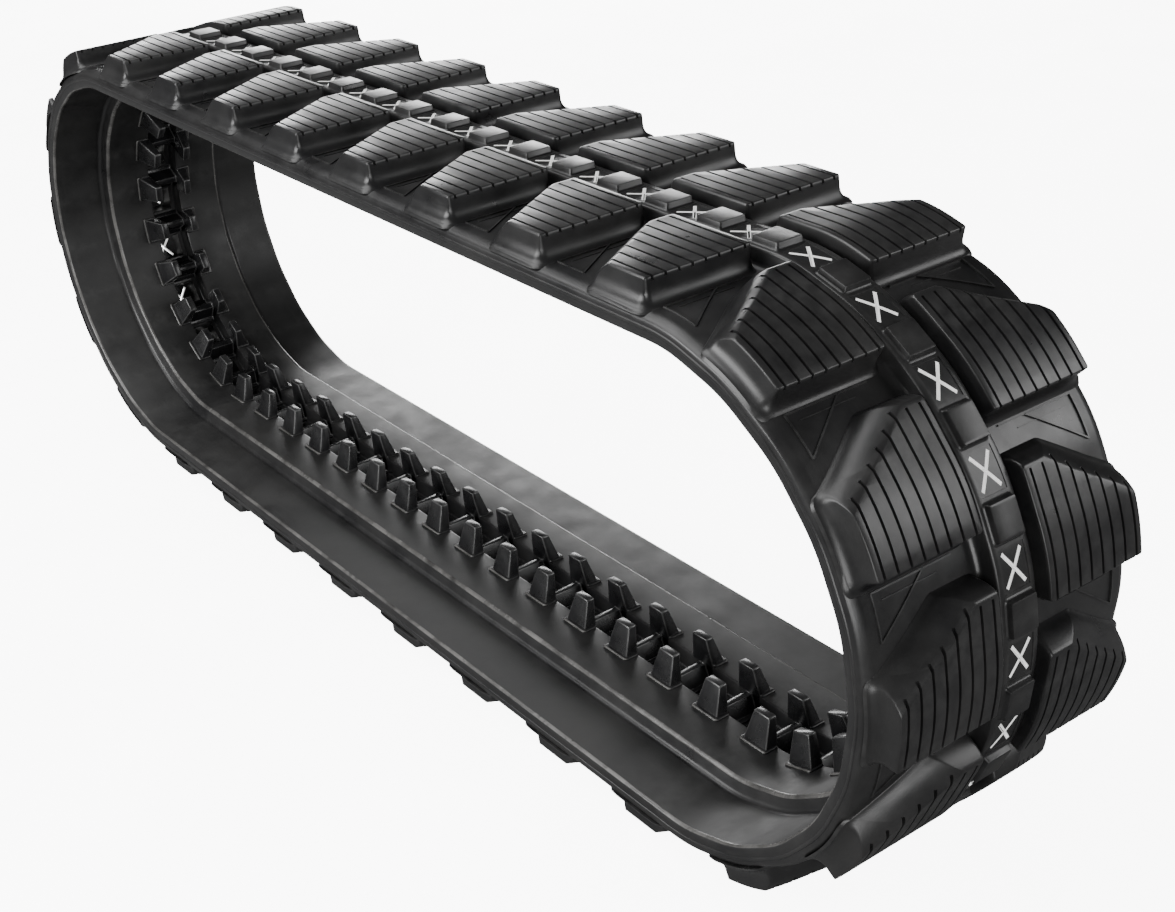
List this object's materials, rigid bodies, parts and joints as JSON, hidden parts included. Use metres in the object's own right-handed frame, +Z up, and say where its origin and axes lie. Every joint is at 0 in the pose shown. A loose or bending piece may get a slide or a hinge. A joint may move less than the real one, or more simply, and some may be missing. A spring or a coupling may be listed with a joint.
{
  "type": "rubber track",
  "caption": "Endless rubber track for a tracked machine, with staggered tread lugs outside and paired guide horns on steel core bars inside.",
  "frame": {"origin": "on the ground under the middle of the track", "axes": "+X along the length of the loop, +Y across the track, +Z up from the ground"},
  "size_m": [2.1192, 0.4, 0.7392],
  "materials": {
    "rubber": "satin",
    "core": "satin black",
    "cord": "bright drawn"
  },
  "bodies": {
    "ground_run": {"carcass": "rubber", "cord_band_left": "cord", "cord_band_right": "cord", "core_00": "core", "core_01": "core", "core_02": "core", "core_03": "core", "core_04": "core", "core_05": "core", "core_06": "core", "core_07": "core", "core_08": "core", "core_09": "core", "core_10": "core", "core_11": "core", "core_12": "core", "core_13": "core", "core_14": "core", "core_15": "core"},
    "front_link_01": {"core_16": "core"},
    "front_link_02": {"core_17": "core"},
    "front_link_03": {"core_18": "core"},
    "front_link_04": {"core_19": "core"},
    "front_link_05": {"core_20": "core"},
    "front_link_06": {"core_21": "core"},
    "front_link_07": {"core_22": "core"},
    "front_link_08": {"core_23": "core"},
    "front_link_09": {"core_24": "core"},
    "front_link_10": {"core_25": "core"},
    "top_run_front": {"core_26": "core", "core_27": "core", "core_28": "core", "core_29": "core", "core_30": "core", "core_31": "core", "core_32": "core", "core_33": "core"},
    "rear_link_01": {"core_51": "core"},
    "rear_link_02": {"core_50": "core"},
    "rear_link_03": {"core_49": "core"},
    "rear_link_04": {"core_48": "core"},
    "rear_link_05": {"core_47": "core"},
    "rear_link_06": {"core_46": "core"},
    "rear_link_07": {"core_45": "core"},
    "rear_link_08": {"core_44": "core"},
    "rear_link_09": {"core_43": "core"},
    "rear_link_10": {"core_42": "core"},
    "top_run_rear": {"core_34": "core", "core_35": "core", "core_36": "core", "core_37": "core", "core_38": "core", "core_39": "core", "core_40": "core", "core_41": "core"}
  },
  "joints": [
    {"name": "front_flex_01", "type": "hinge", "parent": "ground_run", "child": "front_link_01", "pos_m": [0.73577, 0, 0.05127], "axis": [0, -1, 0], "range_deg": [-2.7, 1.45], "stiffness_Nm_per_rad": 1200, "springref_deg": -1.07},
    {"name": "front_flex_02", "type": "hinge", "parent": "front_link_01", "child": "front_link_02", "pos_m": [0.82359, 0, 0.07706], "axis": [0, -1, 0], "range_deg": [-2.7, 1.45], "stiffness_Nm_per_rad": 1200, "springref_deg": -2.33},
    {"name": "front_flex_03", "type": "hinge", "parent": "front_link_02", "child": "front_link_03", "pos_m": [0.90059, 0, 0.12655], "axis": [0, -1, 0], "range_deg": [-2.7, 1.45], "stiffness_Nm_per_rad": 1200, "springref_deg": -3.38},
    {"name": "front_flex_04", "type": "hinge", "parent": "front_link_03", "child": "front_link_04", "pos_m": [0.96053, 0, 0.19572], "axis": [0, -1, 0], "range_deg": [-1.7, 3.2], "stiffness_Nm_per_rad": 1200, "springref_deg": -4.14},
    {"name": "front_flex_05", "type": "hinge", "parent": "front_link_04", "child": "front_link_05", "pos_m": [0.99856, 0, 0.27898], "axis": [0, -1, 0], "range_deg": [-1.7, 3.2], "stiffness_Nm_per_rad": 1200, "springref_deg": -4.58},
    {"name": "front_flex_06", "type": "hinge", "parent": "front_link_05", "child": "front_link_06", "pos_m": [1.01158, 0, 0.36958], "axis": [0, -1, 0], "range_deg": [-1.5, 3], "stiffness_Nm_per_rad": 1200, "springref_deg": -4.71, "deforming": ["carcass", "cord_band_left", "cord_band_right"]},
    {"name": "front_flex_07", "type": "hinge", "parent": "front_link_06", "child": "front_link_07", "pos_m": [0.99856, 0, 0.46018], "axis": [0, -1, 0], "range_deg": [-1.7, 3.2], "stiffness_Nm_per_rad": 1200, "springref_deg": -4.56},
    {"name": "front_flex_08", "type": "hinge", "parent": "front_link_07", "child": "front_link_08", "pos_m": [0.96053, 0, 0.54344], "axis": [0, -1, 0], "range_deg": [-1.7, 3.2], "stiffness_Nm_per_rad": 1200, "springref_deg": -4.19},
    {"name": "front_flex_09", "type": "hinge", "parent": "front_link_08", "child": "front_link_09", "pos_m": [0.90059, 0, 0.61262], "axis": [0, -1, 0], "range_deg": [-2.7, 1.45], "stiffness_Nm_per_rad": 1200, "springref_deg": -3.66},
    {"name": "front_flex_10", "type": "hinge", "parent": "front_link_09", "child": "front_link_10", "pos_m": [0.82359, 0, 0.6621], "axis": [0, -1, 0], "range_deg": [-2.7, 1.45], "stiffness_Nm_per_rad": 1200, "springref_deg": -3.05},
    {"name": "front_flex_11", "type": "hinge", "parent": "front_link_10", "child": "top_run_front", "pos_m": [0.73577, 0, 0.68789], "axis": [0, -1, 0], "range_deg": [-2.7, 1.45], "stiffness_Nm_per_rad": 1200, "springref_deg": -2.43},
    {"name": "rear_flex_01", "type": "hinge", "parent": "ground_run", "child": "rear_link_01", "pos_m": [-0.73577, 0, 0.05127], "axis": [0, 1, 0], "range_deg": [-2.7, 1.45], "stiffness_Nm_per_rad": 1200, "springref_deg": -1.07},
    {"name": "rear_flex_02", "type": "hinge", "parent": "rear_link_01", "child": "rear_link_02", "pos_m": [-0.82359, 0, 0.07706], "axis": [0, 1, 0], "range_deg": [-2.7, 1.45], "stiffness_Nm_per_rad": 1200, "springref_deg": -2.33},
    {"name": "rear_flex_03", "type": "hinge", "parent": "rear_link_02", "child": "rear_link_03", "pos_m": [-0.90059, 0, 0.12655], "axis": [0, 1, 0], "range_deg": [-2.7, 1.45], "stiffness_Nm_per_rad": 1200, "springref_deg": -3.38},
    {"name": "rear_flex_04", "type": "hinge", "parent": "rear_link_03", "child": "rear_link_04", "pos_m": [-0.96053, 0, 0.19572], "axis": [0, 1, 0], "range_deg": [-1.7, 3.2], "stiffness_Nm_per_rad": 1200, "springref_deg": -4.14},
    {"name": "rear_flex_05", "type": "hinge", "parent": "rear_link_04", "child": "rear_link_05", "pos_m": [-0.99856, 0, 0.27898], "axis": [0, 1, 0], "range_deg": [-1.7, 3.2], "stiffness_Nm_per_rad": 1200, "springref_deg": -4.58},
    {"name": "rear_flex_06", "type": "hinge", "parent": "rear_link_05", "child": "rear_link_06", "pos_m": [-1.01158, 0, 0.36958], "axis": [0, 1, 0], "range_deg": [-1.7, 3.2], "stiffness_Nm_per_rad": 1200, "springref_deg": -4.71},
    {"name": "rear_flex_07", "type": "hinge", "parent": "rear_link_06", "child": "rear_link_07", "pos_m": [-0.99856, 0, 0.46018], "axis": [0, 1, 0], "range_deg": [-1.7, 3.2], "stiffness_Nm_per_rad": 1200, "springref_deg": -4.56},
    {"name": "rear_flex_08", "type": "hinge", "parent": "rear_link_07", "child": "rear_link_08", "pos_m": [-0.96053, 0, 0.54344], "axis": [0, 1, 0], "range_deg": [-1.7, 3.2], "stiffness_Nm_per_rad": 1200, "springref_deg": -4.19},
    {"name": "rear_flex_09", "type": "hinge", "parent": "rear_link_08", "child": "rear_link_09", "pos_m": [-0.90059, 0, 0.61262], "axis": [0, 1, 0], "range_deg": [-2.7, 1.45], "stiffness_Nm_per_rad": 1200, "springref_deg": -3.66},
    {"name": "rear_flex_10", "type": "hinge", "parent": "rear_link_09", "child": "rear_link_10", "pos_m": [-0.82359, 0, 0.6621], "axis": [0, 1, 0], "range_deg": [-2.7, 1.45], "stiffness_Nm_per_rad": 1200, "springref_deg": -3.05},
    {"name": "rear_flex_11", "type": "hinge", "parent": "rear_link_10", "child": "top_run_rear", "pos_m": [-0.73577, 0, 0.68789], "axis": [0, 1, 0], "range_deg": [-2.7, 1.45], "stiffness_Nm_per_rad": 1200, "springref_deg": -2.43}
  ],
  "couplings": [
    {"joint": "front_flex_01", "follows": "front_flex_06", "ratio": -0.83333},
    {"joint": "front_flex_02", "follows": "front_flex_06", "ratio": -0.83333},
    {"joint": "front_flex_03", "follows": "front_flex_06", "ratio": -0.83333},
    {"joint": "front_flex_04", "follows": "front_flex_06", "ratio": 1},
    {"joint": "front_flex_05", "follows": "front_flex_06", "ratio": 1},
    {"joint": "front_flex_07", "follows": "front_flex_06", "ratio": 1},
    {"joint": "front_flex_08", "follows": "front_flex_06", "ratio": 1},
    {"joint": "front_flex_09", "follows": "front_flex_06", "ratio": -0.83333},
    {"joint": "front_flex_10", "follows": "front_flex_06", "ratio": -0.83333},
    {"joint": "front_flex_11", "follows": "front_flex_06", "ratio": -0.83333},
    {"joint": "rear_flex_01", "follows": "front_flex_06", "ratio": -0.83333},
    {"joint": "rear_flex_02", "follows": "front_flex_06", "ratio": -0.83333},
    {"joint": "rear_flex_03", "follows": "front_flex_06", "ratio": -0.83333},
    {"joint": "rear_flex_04", "follows": "front_flex_06", "ratio": 1},
    {"joint": "rear_flex_05", "follows": "front_flex_06", "ratio": 1},
    {"joint": "rear_flex_06", "follows": "front_flex_06", "ratio": 1},
    {"joint": "rear_flex_07", "follows": "front_flex_06", "ratio": 1},
    {"joint": "rear_flex_08", "follows": "front_flex_06", "ratio": 1},
    {"joint": "rear_flex_09", "follows": "front_flex_06", "ratio": -0.83333},
    {"joint": "rear_flex_10", "follows": "front_flex_06", "ratio": -0.83333},
    {"joint": "rear_flex_11", "follows": "front_flex_06", "ratio": -0.83333}
  ]
}
